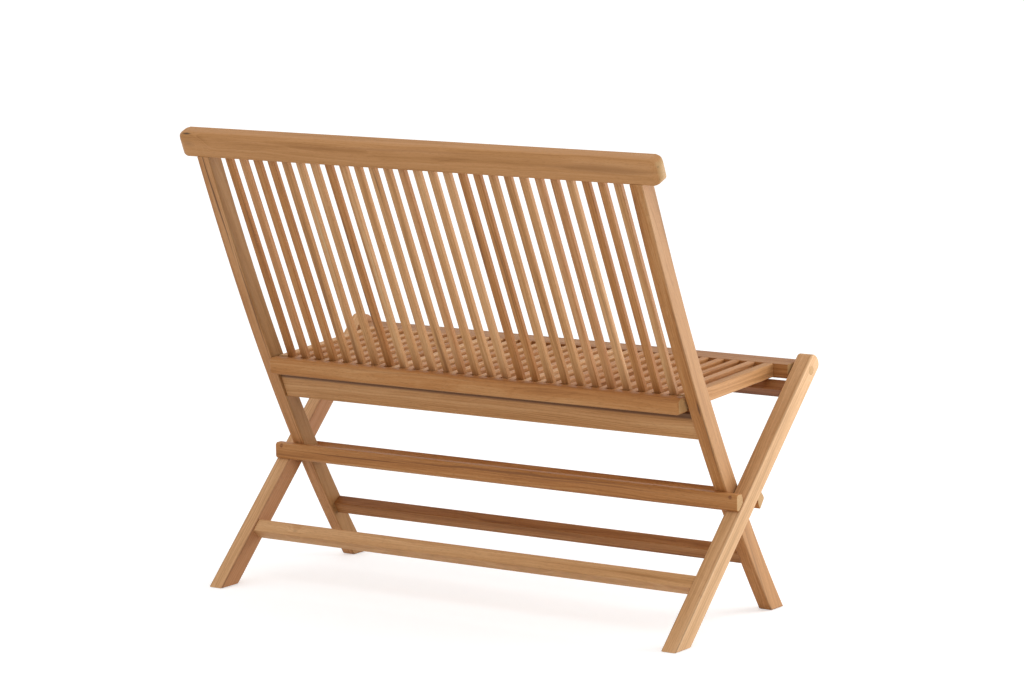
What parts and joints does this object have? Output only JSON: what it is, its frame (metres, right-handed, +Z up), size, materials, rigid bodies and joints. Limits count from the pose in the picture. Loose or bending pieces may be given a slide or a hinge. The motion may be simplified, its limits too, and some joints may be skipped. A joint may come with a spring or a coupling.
{
  "type": "folding bench",
  "caption": "Folding teak garden bench with a slatted back, a slatted seat and crossing legs.",
  "frame": {"origin": "centre of the bounding box at floor level, bench open", "axes": "+Z up, X along the width, the sitter faces -Y"},
  "size_m": [1.076, 0.5534, 0.893],
  "materials": {
    "teak_frame": "oiled, sanded satin",
    "teak_slat": "oiled, sanded satin",
    "steel": "satin"
  },
  "bodies": {
    "leg_frame": {"leg_left": "teak_frame", "leg_right": "teak_frame", "rear_stretcher": "teak_frame", "seat_support_rail": "teak_frame", "rear_stop_rail": "teak_frame", "rear_stop_peg_left": "teak_frame", "rear_stop_peg_right": "teak_frame", "crossing_bolt_left": "steel", "crossing_bolt_right": "steel", "crossing_washer_left": "steel", "crossing_washer_right": "steel", "seat_bolt_left": "steel", "seat_bolt_right": "steel", "seat_washer_left": "steel", "seat_washer_right": "steel", "seat_plug_left": "teak_frame", "seat_plug_right": "teak_frame"},
    "back_frame": {"stile_left": "teak_frame", "stile_right": "teak_frame", "crest_rail": "teak_frame", "back_slat_01": "teak_slat", "back_slat_02": "teak_slat", "back_slat_03": "teak_slat", "back_slat_04": "teak_slat", "back_slat_05": "teak_slat", "back_slat_06": "teak_slat", "back_slat_07": "teak_slat", "back_slat_08": "teak_slat", "back_slat_09": "teak_slat", "back_slat_10": "teak_slat", "back_slat_11": "teak_slat", "back_slat_12": "teak_slat", "back_slat_13": "teak_slat", "back_slat_14": "teak_slat", "back_slat_15": "teak_slat", "back_slat_16": "teak_slat", "back_slat_17": "teak_slat", "back_slat_18": "teak_slat", "back_slat_19": "teak_slat", "back_slat_20": "teak_slat", "back_slat_21": "teak_slat", "back_slat_22": "teak_slat", "back_slat_23": "teak_slat", "back_slat_24": "teak_slat", "back_slat_25": "teak_slat", "back_slat_26": "teak_slat", "back_slat_27": "teak_slat", "lower_back_rail": "teak_frame", "front_stretcher": "teak_frame", "front_stop_rail": "teak_frame", "front_stop_peg_left": "teak_frame", "front_stop_peg_right": "teak_frame"},
    "seat": {"seat_front_rail": "teak_frame", "seat_comb": "teak_slat", "seat_side_left": "teak_slat", "seat_side_right": "teak_slat"}
  },
  "joints": [
    {"name": "fold", "type": "hinge", "parent": "leg_frame", "child": "back_frame", "pos_m": [0, -0.0361, 0.231], "axis": [1, 0, 0], "range_deg": [0, 60]},
    {"name": "seat_pivot", "type": "hinge", "parent": "leg_frame", "child": "seat", "pos_m": [0, -0.24811, 0.43999], "axis": [1, 0, 0], "range_deg": [0, 116]}
  ],
  "couplings": [
    {"joint": "seat_pivot", "follows": "fold", "ratio": 1.931}
  ]
}
